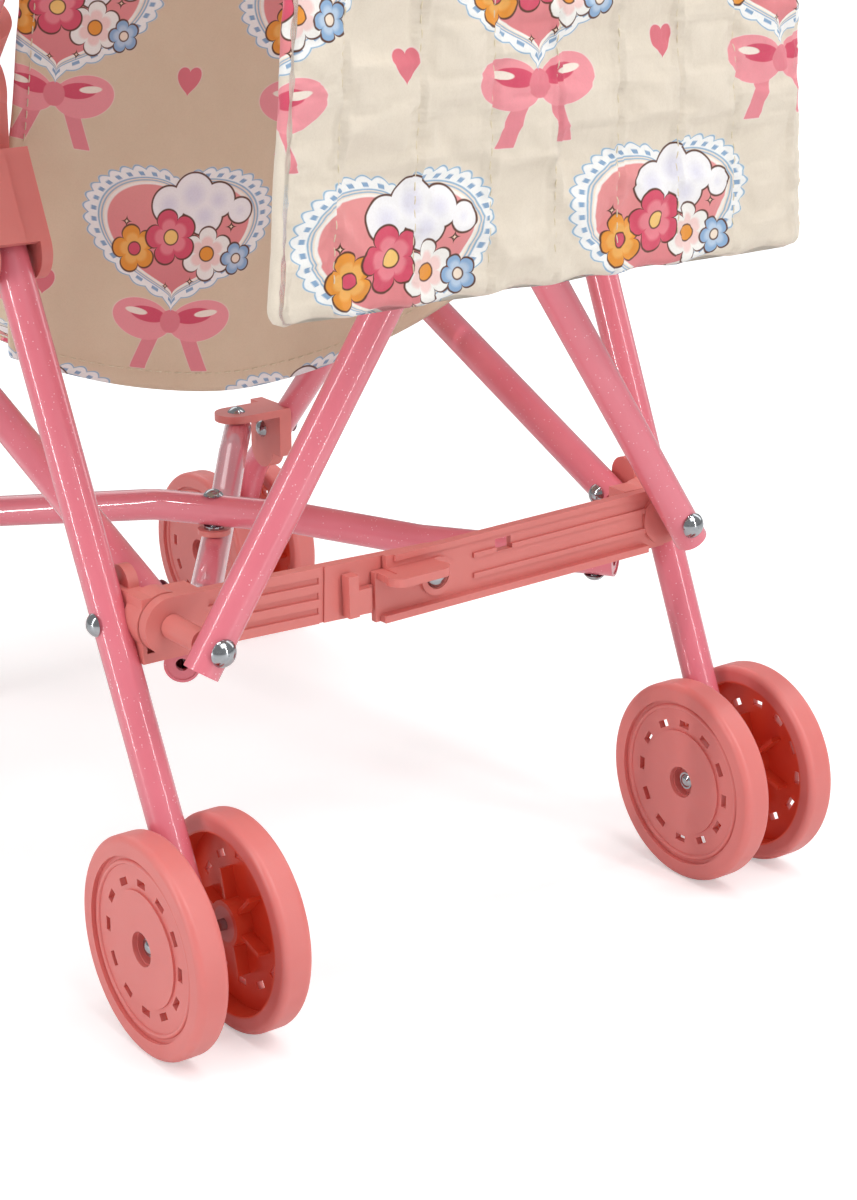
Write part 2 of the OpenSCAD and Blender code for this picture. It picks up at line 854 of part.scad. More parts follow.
module right_main_tube() { mirror([1, 0, 0]) left_main_tube(); }
module right_grip() { mirror([1, 0, 0]) left_grip(); }
module right_rear_leg() { mirror([1, 0, 0]) left_rear_leg(); }
module right_side_bracket() { mirror([1, 0, 0]) left_side_bracket(); }
module right_seat_rail() { mirror([1, 0, 0]) left_seat_rail(); }
module right_corner_block() { mirror([1, 0, 0]) left_corner_block(); }
module right_front_bracket() { mirror([1, 0, 0]) left_front_bracket(); }
module right_upper_bracket() { color(plastic) mirror([1, 0, 0]) upper_bracket(plane_a); }
module right_frame_rivets() { mirror([1, 0, 0]) left_frame_rivets(); }
module right_rear_axle() { mirror([1, 0, 0]) left_rear_axle(); }
module right_front_axle() { mirror([1, 0, 0]) left_front_axle(); }
module right_rear_outer_wheel() { mirror([1, 0, 0]) left_rear_outer_wheel(); }
module right_rear_inner_wheel() { mirror([1, 0, 0]) left_rear_inner_wheel(); }
module right_front_outer_wheel() { mirror([1, 0, 0]) left_front_outer_wheel(); }
module right_front_inner_wheel() { mirror([1, 0, 0]) left_front_inner_wheel(); }
module right_scissor_pin() { color(chrome) mirror([1, 0, 0]) scissor_pin(plane_b); }
module right_low_pin() { mirror([1, 0, 0]) left_low_pin(); }
module right_tube_plugs() { mirror([1, 0, 0]) left_tube_plugs(); }
module right_rail_spacer() { mirror([1, 0, 0]) left_rail_spacer(); }

module rear_scissor_tube_a() { color(paint) rear_scissor_tube(plane_a); }
module rear_scissor_tube_b() { color(paint) mirror([1, 0, 0]) rear_scissor_tube(plane_b); }
module scissor_rivets_a() { color(chrome) scissor_rivets(plane_a, 1, 1); }
module scissor_rivets_b() { color(chrome) mirror([1, 0, 0]) scissor_rivets(plane_b, -1, 1); }
module low_scissor_tube_e() { color(paint) low_scissor_tube(low_e_path, true); }
module low_scissor_tube_f() { color(paint) mirror([1, 0, 0]) low_scissor_tube(low_f_path, false); }
module low_rivets_e() { color(chrome) { low_end_rivet(); low_cross_rivet(); } }
module low_rivets_f() { color(chrome) mirror([1, 0, 0]) low_end_rivet(); }
module low_washer() { color(plastic) low_cross_washer(); }
module lock_bar_left() { color(plastic) lock_bar_left_half(); }
module lock_bar_right() { color(plastic) lock_bar_right_half(); }
module lock_rivet() { color(chrome) lock_bar_rivet(); }
module seat_cloth() { color(cloth) cloth_strip(seat_line, seat_half_w); }
module backrest_cloth() {
    // the lower edge is narrower, so that it passes between the seat rails
    color(cloth)
        difference() {
            cloth_strip(back_line, back_half_w);
            for (s = [-1, 1])
                translate([s * (seat_half_w - 1 + 20), 0, 185])
                    cube([40, 60, 46], center = true);
        }
}
module rear_bag() { color(cloth) bag_body(); }
module left_bag_strap() { color(cloth) bag_strap_body(); }
module right_bag_strap() { mirror([1, 0, 0]) left_bag_strap(); }

left_main_tube();
left_grip();
left_rear_leg();
left_side_bracket();
left_seat_rail();
left_corner_block();
left_front_bracket();
left_upper_bracket();
left_frame_rivets();
left_rear_axle();
left_front_axle();
left_rear_outer_wheel();
left_rear_inner_wheel();
left_front_outer_wheel();
left_front_inner_wheel();
left_scissor_pin();
left_scissor_spacer();
left_low_pin();
left_tube_plugs();
left_rail_spacer();
right_main_tube();
right_grip();
right_rear_leg();
right_side_bracket();
right_seat_rail();
right_corner_block();
right_front_bracket();
right_upper_bracket();
right_frame_rivets();
right_rear_axle();
right_front_axle();
right_rear_outer_wheel();
right_rear_inner_wheel();
right_front_outer_wheel();
right_front_inner_wheel();
right_scissor_pin();
right_low_pin();
right_tube_plugs();
right_rail_spacer();
rear_scissor_tube_a();
rear_scissor_tube_b();
scissor_rivets_a();
scissor_rivets_b();
low_scissor_tube_e();
low_scissor_tube_f();
low_rivets_e();
low_rivets_f();
low_washer();
lock_bar_left();
lock_bar_right();
lock_rivet();
seat_cloth();
backrest_cloth();
rear_bag();
left_bag_strap();
right_bag_strap();
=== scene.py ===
import json
import math

import bmesh
import bpy
import numpy as np
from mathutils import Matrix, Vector, noise


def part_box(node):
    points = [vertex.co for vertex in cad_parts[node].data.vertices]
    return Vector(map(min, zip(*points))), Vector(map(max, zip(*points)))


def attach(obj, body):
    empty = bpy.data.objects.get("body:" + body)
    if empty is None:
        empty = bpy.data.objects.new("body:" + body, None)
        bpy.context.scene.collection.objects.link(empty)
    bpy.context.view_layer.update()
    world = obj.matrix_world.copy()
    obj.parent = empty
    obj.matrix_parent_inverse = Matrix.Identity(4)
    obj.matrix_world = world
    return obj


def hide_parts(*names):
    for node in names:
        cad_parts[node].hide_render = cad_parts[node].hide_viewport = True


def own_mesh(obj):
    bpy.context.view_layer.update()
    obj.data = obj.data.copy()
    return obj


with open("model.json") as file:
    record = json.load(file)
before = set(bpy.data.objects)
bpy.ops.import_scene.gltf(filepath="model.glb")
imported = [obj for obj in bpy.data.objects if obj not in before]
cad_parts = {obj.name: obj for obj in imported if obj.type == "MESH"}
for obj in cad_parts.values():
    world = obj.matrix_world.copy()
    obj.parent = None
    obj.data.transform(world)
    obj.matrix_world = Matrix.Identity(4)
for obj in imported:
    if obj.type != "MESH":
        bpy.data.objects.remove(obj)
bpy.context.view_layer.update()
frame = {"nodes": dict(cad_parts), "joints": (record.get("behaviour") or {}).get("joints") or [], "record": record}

NODES = frame["nodes"]
MM = 0.001
TUBE_R = 6.2 * MM
SLOT_OF = {s["node"]: s["material_slot"] for s in frame["record"]["subparts"]}

# ---------------------------------------------------------------- measuring the frame


def section_centre(node, axis, value):
    """Centre of the cut through a CAD node where one coordinate has the given value."""
    mesh = NODES[node].data
    cut = []
    for edge in mesh.edges:
        a, b = (mesh.vertices[i].co for i in edge.vertices)
        if (a[axis] - value) * (b[axis] - value) < 0:
            cut.append(a.lerp(b, (value - a[axis]) / (b[axis] - a[axis])))
    return (Vector(map(min, *cut)) + Vector(map(max, *cut))) / 2


def smooth_step(t):
    t = np.clip(t, 0, 1)
    return t * t * (3 - 2 * t)


def curve_through(x, xs, ys):
    """Smooth curve through the points (xs, ys), xs rising, evaluated at x."""
    xs, ys = np.asarray(xs, float), np.asarray(ys, float)
    slope = np.gradient(ys, xs)
    x = np.clip(x, xs[0], xs[-1])
    i = np.clip(np.searchsorted(xs, x) - 1, 0, len(xs) - 2)
    h = xs[i + 1] - xs[i]
    t = (x - xs[i]) / h
    return (
        (2 * t**3 - 3 * t**2 + 1) * ys[i]
        + (t**3 - 2 * t**2 + t) * h * slope[i]
        + (3 * t**2 - 2 * t**3) * ys[i + 1]
        + (t**3 - t**2) * h * slope[i + 1]
    )


def wobble(x, y, z, size):
    """Smooth noise from -1 to 1 over points in metres, with features of the given size."""
    flat = [noise.noise(Vector(p) / size) for p in zip(np.ravel(x), np.ravel(y), np.ravel(z))]
    return np.array(flat).reshape(np.shape(x))


# ---------------------------------------------------------------- shader helpers


class Value:
    """A shader socket that can be used in arithmetic."""

    def __init__(self, tree, socket):
        self.tree, self.socket = tree, socket

    def op(self, kind, *others, clamp=False):
        node = self.tree.nodes.new("ShaderNodeMath")
        node.operation, node.use_clamp = kind, clamp
        for i, v in enumerate((self,) + others):
            if isinstance(v, Value):
                self.tree.links.new(v.socket, node.inputs[i])
            else:
                node.inputs[i].default_value = v
        return Value(self.tree, node.outputs[0])

    def __add__(self, o):
        return self.op("ADD", o)

    def __sub__(self, o):
        return self.op("SUBTRACT", o)

    def __mul__(self, o):
        return self.op("MULTIPLY", o)

    def __truediv__(self, o):
        return self.op("DIVIDE", o)

    def __neg__(self):
        return self.op("MULTIPLY", -1.0)

    def abs(self):
        return self.op("ABSOLUTE")

    def sqrt(self):
        return self.op("SQRT")

    def sin(self):
        return self.op("SINE")

    def min(self, o):
        return self.op("MINIMUM", o)

    def max(self, o):
        return self.op("MAXIMUM", o)

    def below(self, edge, soft):
        """1 where this is under edge, 0 above, with a soft step between."""
        return ((-self) + edge).op("MULTIPLY_ADD", 1 / soft, 0.5, clamp=True)

    def near(self, centre, half, soft):
        """1 where this is within half of centre."""
        return (self - centre).abs().below(half, soft)


def length(a, b):
    return (a * a + b * b).sqrt()


def angle(y, x):
    return y.op("ARCTAN2", x)


def linear(hex_colour):
    """A #rrggbb colour as linear RGBA."""
    rgb = [int(hex_colour[i:i + 2], 16) / 255 for i in (1, 3, 5)]
    return [c / 12.92 if c <= 0.04045 else ((c + 0.055) / 1.055) ** 2.4 for c in rgb] + [1]


def mixed(tree, factor, a, b):
    """Colour a, with colour b over it where factor is 1. A colour is a list or a socket."""
    node = tree.nodes.new("ShaderNodeMix")
    node.data_type = "RGBA"
    node.clamp_factor = True
    sockets = [node.inputs[0], node.inputs[6], node.inputs[7]]
    for socket, v in zip(sockets, (factor, a, b)):
        v = v.socket if isinstance(v, Value) else v
        if isinstance(v, bpy.types.NodeSocket):
            tree.links.new(v, socket)
        else:
            socket.default_value = v
    return node.outputs[2]


def new_material(name, **constants):
    """A node material whose Principled sockets have the given constant values."""
    mat = bpy.data.materials.new(name)
    mat.use_nodes = True
    tree = mat.node_tree
    shader = tree.nodes["Principled BSDF"]
    for key, v in constants.items():
        shader.inputs[key.replace("_", " ")].default_value = v
    return mat, tree, shader


def object_coordinates(tree):
    return tree.nodes.new("ShaderNodeTexCoord").outputs["Object"]


def noise_value(tree, vector, scale, detail=2.0, roughness=0.5):
    node = tree.nodes.new("ShaderNodeTexNoise")
    node.inputs["Scale"].default_value = scale
    node.inputs["Detail"].default_value = detail
    node.inputs["Roughness"].default_value = roughness
    tree.links.new(vector, node.inputs["Vector"])
    return Value(tree, node.outputs["Fac"])


def voronoi(tree, vector, scale):
    node = tree.nodes.new("ShaderNodeTexVoronoi")
    node.inputs["Scale"].default_value = scale
    tree.links.new(vector, node.inputs["Vector"])
    return node


def bump(tree, shader, height, distance, strength=1.0):
    """Adds a bump on top of whatever already feeds the shader's normal."""
    node = tree.nodes.new("ShaderNodeBump")
    node.inputs["Strength"].default_value = strength
    node.inputs["Distance"].default_value = distance
    tree.links.new(height.socket, node.inputs["Height"])
    if shader.inputs["Normal"].is_linked:
        tree.links.new(shader.inputs["Normal"].links[0].from_socket, node.inputs["Normal"])
    tree.links.new(node.outputs[0], shader.inputs["Normal"])


# ---------------------------------------------------------------- hard materials


def sparkle_paint():
    """Gloss pink paint with small pale glitter flecks under a clear coat."""
    mat, tree, shader = new_material(
        "sparkle_paint", Roughness=0.36, Coat_Weight=1.0, Coat_Roughness=0.035)
    where = object_coordinates(tree)
    fleck = voronoi(tree, where, 1250)
    pick = tree.nodes.new("ShaderNodeSeparateColor")
    tree.links.new(fleck.outputs["Color"], pick.inputs[0])
    rare = Value(tree, pick.outputs[0]).below(0.07, 0.02)
    spot = Value(tree, fleck.outputs["Distance"]).below(0.26, 0.12) * 0.8
    cloud = noise_value(tree, where, 45, 3)
    base = mixed(tree, cloud, linear("#dd6b7b"), linear("#e67e8c"))
    tree.links.new(mixed(tree, rare * spot, base, linear("#f7c9ce")), shader.inputs["Base Color"])
    bump(tree, shader, noise_value(tree, where, 260, 2), 0.00006, 0.5)
    return mat


# where the painted glow in a wheel's hollow ends
BAND_DEPTH = 6.0 * MM    # in from the tread
HUB_CLEAR = 6.2 * MM     # out from the axle, past the recess of its nut
DISC_DEPTH = 3.6 * MM    # in from the outer face


def wheel_glow_mask(tree):
    """1 inside the open side of every wheel, where the painted glow goes: near an axle and close to the middle of
    its pair.
    """
    split = tree.nodes.new("ShaderNodeSeparateXYZ")
    tree.links.new(object_coordinates(tree), split.inputs[0])
    x, y, z = (Value(tree, split.outputs[i]) for i in range(3))
    centres = {}
    for node in ("left_rear_outer_wheel", "left_rear_inner_wheel", "left_front_outer_wheel"):
        low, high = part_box(node)
        centres[node] = (low + high) / 2
    rear, inner, front = centres.values()
    radial = length((y - (rear.y + front.y) / 2).abs() - (rear.y - front.y) / 2, z - rear.z)
    low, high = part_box("left_rear_outer_wheel")
    pair = (x.abs() - (rear.x + inner.x) / 2).abs()
    disc = high.x - (rear.x + inner.x) / 2 - DISC_DEPTH
    ring = radial.below((high.z - low.z) / 2 - BAND_DEPTH, 0.0008) - radial.below(HUB_CLEAR, 0.0008)
    return ring * pair.below(disc, 0.0006)


def moulded_plastic(name, low, high, rough, grain=900, glow_colour=None):
    """Satin moulded plastic with a fine grain and slightly uneven gloss. A wheel has painted glow in
    its hollow: a deeper red colour and a faint emission that stand in for light through the thin plastic."""
    mat, tree, shader = new_material(name, Subsurface_Weight=0.12, Subsurface_Scale=0.004)
    shader.inputs["Subsurface Radius"].default_value = (1.0, 0.35, 0.25)
    where = object_coordinates(tree)
    cloud = noise_value(tree, where, 30, 4, 0.6)
    colour = mixed(tree, cloud, linear(low), linear(high))
    if glow_colour:
        # painted glow: in each wheel's hollow a deeper red colour and a faint emission stand in for light shining
        # through and bouncing inside the thin plastic
        hollow = wheel_glow_mask(tree)
        colour = mixed(tree, hollow, colour, linear(glow_colour))
        shader.inputs["Subsurface Weight"].default_value = 0.25
        shader.inputs["Subsurface Scale"].default_value = 0.006
        shader.inputs["Emission Color"].default_value = linear(glow_colour)
        tree.links.new((hollow * 0.03).socket, shader.inputs["Emission Strength"])
    tree.links.new(colour, shader.inputs["Base Color"])
    gloss = noise_value(tree, where, 120, 3, 0.6) * 0.16 + (rough - 0.08)
    tree.links.new(gloss.socket, shader.inputs["Roughness"])
    bump(tree, shader, noise_value(tree, where, grain, 2), 0.00005, 0.6)
    bump(tree, shader, noise_value(tree, where, 60, 2), 0.00025, 0.35)
    return mat


def plated_steel():
    """Zinc-plated rivets and axles: bright, with fine scratches."""
    mat, tree, shader = new_material("plated_steel", Metallic=1.0)
    where = object_coordinates(tree)
    cloud = noise_value(tree, where, 350, 4, 0.7)
    tree.links.new(mixed(tree, cloud, linear("#8a8e93"), linear("#c6c9cc")),
                   shader.inputs["Base Color"])
    tree.links.new((noise_value(tree, where, 700, 3) * 0.16 + 0.06).socket,
                   shader.inputs["Roughness"])
    bump(tree, shader, cloud, 0.00005, 0.4)
    return mat


# ---------------------------------------------------------------- printed cotton

PITCH_X, PITCH_Z = 108.0, 160.0   # repeat of the print, in mm
BROWN = "#5f3b2e"


def motif_group():
    """Node group: position in mm from a motif's centre in, colour and cover out.
    The motif is a lace-edged heart with a cloud and three flowers, a bow under it and a small
    heart above it."""
    tree = bpy.data.node_groups.new("print_motif", "ShaderNodeTree")
    tree.interface.new_socket("X", in_out="INPUT", socket_type="NodeSocketFloat")
    tree.interface.new_socket("Y", in_out="INPUT", socket_type="NodeSocketFloat")
    tree.interface.new_socket("Color", in_out="OUTPUT", socket_type="NodeSocketColor")
    tree.interface.new_socket("Cover", in_out="OUTPUT", socket_type="NodeSocketFloat")
    entry = tree.nodes.new("NodeGroupInput")
    x, y = Value(tree, entry.outputs[0]), Value(tree, entry.outputs[1])
    ax = x.abs()
    state = {"colour": linear("#ffffff"), "cover": None}

    def paint(mask, colour):
        colour = linear(colour) if isinstance(colour, str) else colour
        state["colour"] = mixed(tree, mask, state["colour"], colour)
        state["cover"] = mask if state["cover"] is None else state["cover"].max(mask)

    # bow under the heart: tails, loops, folds and knot
    tail_y = -y - 30
    tail = (ax - tail_y * 0.42 - 5.5).abs().below(3.4, 0.5)
    tail = tail * tail_y.near(8.5, 9.5, 0.5) * (tail_y + ax * 0.5).below(26, 0.6)
    paint(tail, "#e58a94")
    loop_x, loop_y = ax - 12.0, y + 30 - ax * 0.12
    loop = length(loop_x / 12.5, loop_y / 8.0)
    paint(loop.below(1.0, 0.05), "#ee98a0")
    paint(length((ax - 9.5) / 7.5, (loop_y - 2.2) / 3.0).below(1.0, 0.1), "#d6506b")
    paint(length((ax - 14.5) / 4.6, (loop_y - 2.6) / 1.3).below(1.0, 0.15), "#f6e9dc")
    paint(length(x / 4.2, (y + 29) / 4.6).below(1.0, 0.1), "#e2808c")

    # heart: rings at shares of its outer size
    hx = x / 38.0
    hy = (y * 1.62) / 38.0 - 0.08 - (hx.abs().sqrt() * 0.52)
    ring = length(hx, hy + 0.12)
    turn = angle(hy, hx)
    scallop = (turn * 17.0).sin().abs()
    lace_edge = ring - scallop * 0.055
    paint(lace_edge.below(0.985, 0.015), "#f4f4f2")
    paint(lace_edge.near(0.975, 0.011, 0.014), "#8fb2cf")
    eyelet = ring.near(0.915, 0.028, 0.02) * scallop.op("GREATER_THAN", 0.82)
    paint(eyelet, "#8aa9c9")
    paint(ring.below(0.868, 0.012), "#8fb2cf")
    paint(ring.below(0.85, 0.012), "#f3e2cf")
    paint(ring.near(0.825, 0.008, 0.012), "#8fb2cf")
    paint(ring.below(0.80, 0.012), "#f6f1ea")
    shade = (y * 0.016 + 0.5).op("MULTIPLY", 1.0, clamp=True)
    paint(ring.below(0.765, 0.014), mixed(tree, shade, linear("#d97a82"), linear("#ec9c9a")))

    # four small sparkles
    for sx, sy, size in ((-21, 8, 2.6), (22, 7, 2.6), (-3, -15.5, 1.9), (7, -13.5, 2.2)):
        spike = (x - sx).abs().sqrt() + (y - sy).abs().sqrt()
        paint(spike.below(math.sqrt(size), 0.12), BROWN)
        paint(spike.below(math.sqrt(size) * 0.62, 0.12), "#f6d9c0")

    # cloud: four overlapping discs with one outline
    cloud = None
    for cx, cy, r in ((-4, 15, 7.5), (6, 19, 8.5), (16, 17, 7.0), (25, 13, 5.2), (11, 11, 7.5)):
        disc = length(x - cx, y - cy) - r
        cloud = disc if cloud is None else cloud.min(disc)
    paint(cloud.below(0.0, 0.3), BROWN)
    paint(cloud.below(-0.7, 0.3), "#f5f3f4")
    paint(cloud.below(-4.6, 3.5) * 0.45, "#cfcbe6")

    # flowers: petals with an outline, an inner tint and a centre
    flowers = (
        (-17, -2, 9.5, 5, "#e8973a", "#f2b765", "#d6506b"),
        (13, -3, 10.5, 6, "#f4f1ec", "#f3c9c4", "#e8973a"),
        (-2, 3, 11.0, 5, "#d8536c", "#ec8d97", "#f6c978"),
        (25, -5, 6.5, 5, "#8fb0d3", "#c3d4e6", "#f3e2cf"),
    )
    for fx, fy, size, petals, outer, inner, heart in flowers:
        dx, dy = x - fx, y - fy
        r = length(dx, dy)
        edge = (angle(dy, dx) * (petals / 2)).sin().abs().sqrt() * (size * 0.38) + size * 0.62
        gap = r - edge
        paint(gap.below(0.0, 0.3), BROWN)
        paint(gap.below(-0.7, 0.3), outer)
        paint((r - edge * 0.62).below(0.0, 1.2) * 0.8, inner)
        paint(r.below(size * 0.24 + 0.5, 0.3), BROWN)
        paint(r.below(size * 0.24, 0.3), heart)

    # small heart above
    sx = x / 5.0
    sy = (y - 60.0) / 4.6 - (sx.abs().sqrt() * 0.75) + 0.25
    paint(length(sx, sy).below(1.0, 0.12), "#dc7480")

    leave = tree.nodes.new("NodeGroupOutput")
    tree.links.new(state["colour"], leave.inputs[0])
    tree.links.new(state["cover"].socket, leave.inputs[1])
    return tree


def cloth_material(name, motif, base_low, base_high, quilted=False):
    """Cream cotton with the print. The mesh attribute "cloth" holds its flat place in mm, and
    on quilted cloth the distance to the nearest stitch line."""
    mat, tree, shader = new_material(name, Roughness=0.88, Sheen_Weight=0.25, Sheen_Roughness=0.5)
    shader.inputs["Specular IOR Level"].default_value = 0.25
    attribute = tree.nodes.new("ShaderNodeAttribute")
    attribute.attribute_name = "cloth"
    flat = attribute.outputs["Vector"]
    split = tree.nodes.new("ShaderNodeSeparateXYZ")
    tree.links.new(flat, split.inputs[0])
    u, v = Value(tree, split.outputs[0]), Value(tree, split.outputs[1])
    cloud = noise_value(tree, flat, 0.05, 4, 0.6)
    colour = mixed(tree, cloud, linear(base_low), linear(base_high))
    for du, dv in ((0, 0), (PITCH_X / 2, PITCH_Z / 2)):
        node = tree.nodes.new("ShaderNodeGroup")
        node.node_tree = motif
        for i, (place, shift, pitch) in enumerate(((u, du, PITCH_X), (v, dv, PITCH_Z))):
            cell = (place - shift).op("WRAP", pitch / 2, -pitch / 2)
            tree.links.new(cell.socket, node.inputs[i])
        colour = mixed(tree, node.outputs[1], colour, node.outputs[0])
    slub = noise_value(tree, flat, 1.4, 3, 0.7)
    colour = mixed(tree, slub.below(0.42, 0.3) * 0.10, colour, linear("#a8937c"))
    tree.links.new(colour, shader.inputs["Base Color"])
    thread = 2 * math.pi / 0.55
    weave = (u * thread).sin() * (v * thread).sin()
    bump(tree, shader, weave * 0.5 + slub * 0.6, 0.00012, 0.55)
    bump(tree, shader, noise_value(tree, flat, 0.11, 3, 0.55), 0.0012, 0.5)
    if quilted:
        stretched = tree.nodes.new("ShaderNodeCombineXYZ")
        tree.links.new((u * 0.16).socket, stretched.inputs[0])
        tree.links.new((v * 0.62).socket, stretched.inputs[1])
        crease = noise_value(tree, stretched.outputs[0], 0.8, 2, 0.5)
        by_seam = Value(tree, split.outputs[2]).below(3.5, 7)
        bump(tree, shader, crease * by_seam, 0.0014, 0.4)
    return mat


def thread_material():
    """Pale twisted sewing thread."""
    mat, tree, shader = new_material("thread", Roughness=0.7, Sheen_Weight=0.3)
    where = object_coordinates(tree)
    cloud = noise_value(tree, where, 1500, 2)
    tree.links.new(mixed(tree, cloud, linear("#cbb894"), linear("#efe5cf")),
                   shader.inputs["Base Color"])
    bump(tree, shader, cloud, 0.0001, 0.6)
    return mat


# ---------------------------------------------------------------- mesh helpers


def make_object(name, points, faces, material, flat=None):
    """A smooth-shaded object in the scene, with its flat place as the attribute "cloth"."""
    mesh = bpy.data.meshes.new(name)
    mesh.from_pydata([tuple(p) for p in points], [], faces)
    if flat is not None:
        attribute = mesh.attributes.new("cloth", "FLOAT_VECTOR", "POINT")
        attribute.data.foreach_set("vector", np.asarray(flat, np.float32).ravel())
    work = bmesh.new()
    work.from_mesh(mesh)
    bmesh.ops.recalc_face_normals(work, faces=work.faces)
    work.to_mesh(mesh)
    work.free()
    mesh.polygons.foreach_set("use_smooth", [True] * len(mesh.polygons))
    mesh.materials.append(material)
    piece = bpy.data.objects.new(name, mesh)
    bpy.context.scene.collection.objects.link(piece)
    return piece


def grid_faces(rows, columns, start=0, flip=False, wrap=False):
    """Quads of a grid of points that are stored row by row."""
    faces = []
    for r in range(rows - 1):
        for c in range(columns if wrap else columns - 1):
            a, b = start + r * columns + c, start + r * columns + (c + 1) % columns
            quad = (a, b, b + columns, a + columns)
            faces.append(quad[::-1] if flip else quad)
    return faces


def grid_normals(grid, wrap=False):
    """Unit normals of a grid of points, shape (rows, columns, 3)."""
    down = np.gradient(grid, axis=0)
    if wrap:
        across = (np.roll(grid, -1, axis=1) - np.roll(grid, 1, axis=1)) / 2
    else:
        across = np.gradient(grid, axis=1)
    n = np.cross(down, across)
    return n / np.maximum(np.linalg.norm(n, axis=2, keepdims=True), 1e-12)


def closed_sheet(name, grid, flat, thickness, material):
    """A closed sheet round a grid of points; thickness is a number or one value per point."""
    rows, columns = grid.shape[:2]
    n = grid_normals(grid)
    half = np.broadcast_to(np.asarray(thickness) / 2, grid.shape[:2])[..., None]
    points = np.concatenate([(grid + n * half).reshape(-1, 3), (grid - n * half).reshape(-1, 3)])
    count = rows * columns
    faces = grid_faces(rows, columns) + grid_faces(rows, columns, count, flip=True)
    rim = [c for c in range(columns)]
    rim += [r * columns + columns - 1 for r in range(1, rows)]
    rim += [(rows - 1) * columns + c for c in range(columns - 2, -1, -1)]
    rim += [r * columns for r in range(rows - 2, 0, -1)]
    for a, b in zip(rim, rim[1:] + rim[:1]):
        faces.append((a, a + count, b + count, b))
    return make_object(name, points, faces, material, np.concatenate([flat.reshape(-1, 3)] * 2))


def closed_sleeve(name, grid, flat, thickness, material):
    """A closed tube of cloth: grid rows run along it and its columns go round."""
    rows, columns = grid.shape[:2]
    n = grid_normals(grid, wrap=True)
    outer, inner = grid, grid - n * thickness
    middle = grid.mean(axis=1, keepdims=True)
    if np.linalg.norm(inner - middle, axis=2).mean() > np.linalg.norm(outer - middle, axis=2).mean():
        inner = grid + n * thickness
    points = np.concatenate([outer.reshape(-1, 3), inner.reshape(-1, 3)])
    count = rows * columns
    faces = grid_faces(rows, columns, wrap=True)
    faces += grid_faces(rows, columns, count, flip=True, wrap=True)
    for r in (0, rows - 1):
        for c in range(columns):
            a, b = r * columns + c, r * columns + (c + 1) % columns
            faces.append((a, a + count, b + count, b))
    return make_object(name, points, faces, material, np.concatenate([flat.reshape(-1, 3)] * 2))


STITCH, STITCH_GAP, THREAD = 2.9 * MM, 1.3 * MM, 0.26 * MM


def stitches(name, lines, material):
    """Rows of sewing stitches as one mesh. A line is (points, normals) on the cloth's surface."""
    points, faces = [], []
    shape = ((-1, 0.25), (-0.75, 0.9), (0, 1.0), (0.75, 0.9), (1, 0.25))
    sides = 6
    for line, normals in lines:
        line, normals = np.asarray(line), np.asarray(normals)
        run = np.concatenate([[0], np.cumsum(np.linalg.norm(np.diff(line, axis=0), axis=1))])
        start = STITCH_GAP
        while start + STITCH < run[-1]:
            ring0 = len(points)
            for t, width in shape:
                at = start + STITCH * (t + 1) / 2
                p = np.array([np.interp(at, run, line[:, k]) for k in range(3)])
                q = np.array([np.interp(at + 1e-5, run, line[:, k]) for k in range(3)])
                n = np.array([np.interp(at, run, normals[:, k]) for k in range(3)])
                along = (q - p) / np.linalg.norm(q - p)
                n = n / np.linalg.norm(n)
                side = np.cross(along, n)
                p = p + n * (THREAD * (1.1 - 0.9 * t * t))
                for k in range(sides):
                    a = 2 * math.pi * k / sides
                    points.append(p + (math.cos(a) * side + math.sin(a) * n) * THREAD * width)
            faces += grid_faces(len(shape), sides, ring0, wrap=True)
            faces.append(tuple(range(ring0, ring0 + sides))[::-1])
            last = ring0 + (len(shape) - 1) * sides
            faces.append(tuple(range(last, last + sides)))
            start += STITCH + STITCH_GAP
    return make_object(name, points, faces, material)


# ---------------------------------------------------------------- backrest

SLEEVE_R = 7.4 * MM
TAB = 7.0 * MM
SHEET_T = 1.1 * MM
BACK_TOP, BACK_FREE = 0.436, 0.340    # heights between which the backrest hangs on the tubes
EDGE_LOW = 0.1070    # half width of the free lower part
HEM_Y = 0.003
HEM_LOW = 0.176
HEM_FOLD, HEM_SEAM = 8.5 * MM, 6.6 * MM    # width of the folded hem, and its stitches above the edge
BACK_MIDDLE = 0.39    # a height on the left main tube where back_edge is taken for fold_with
RAIL_SLEEVE = (-0.082, -0.140)    # y of the two ends of each seat sleeve


def hem_height(x):
    """Height of the curved lower edge of the backrest."""
    return HEM_LOW + 0.026 * (np.abs(x) / 0.100) ** 1.9


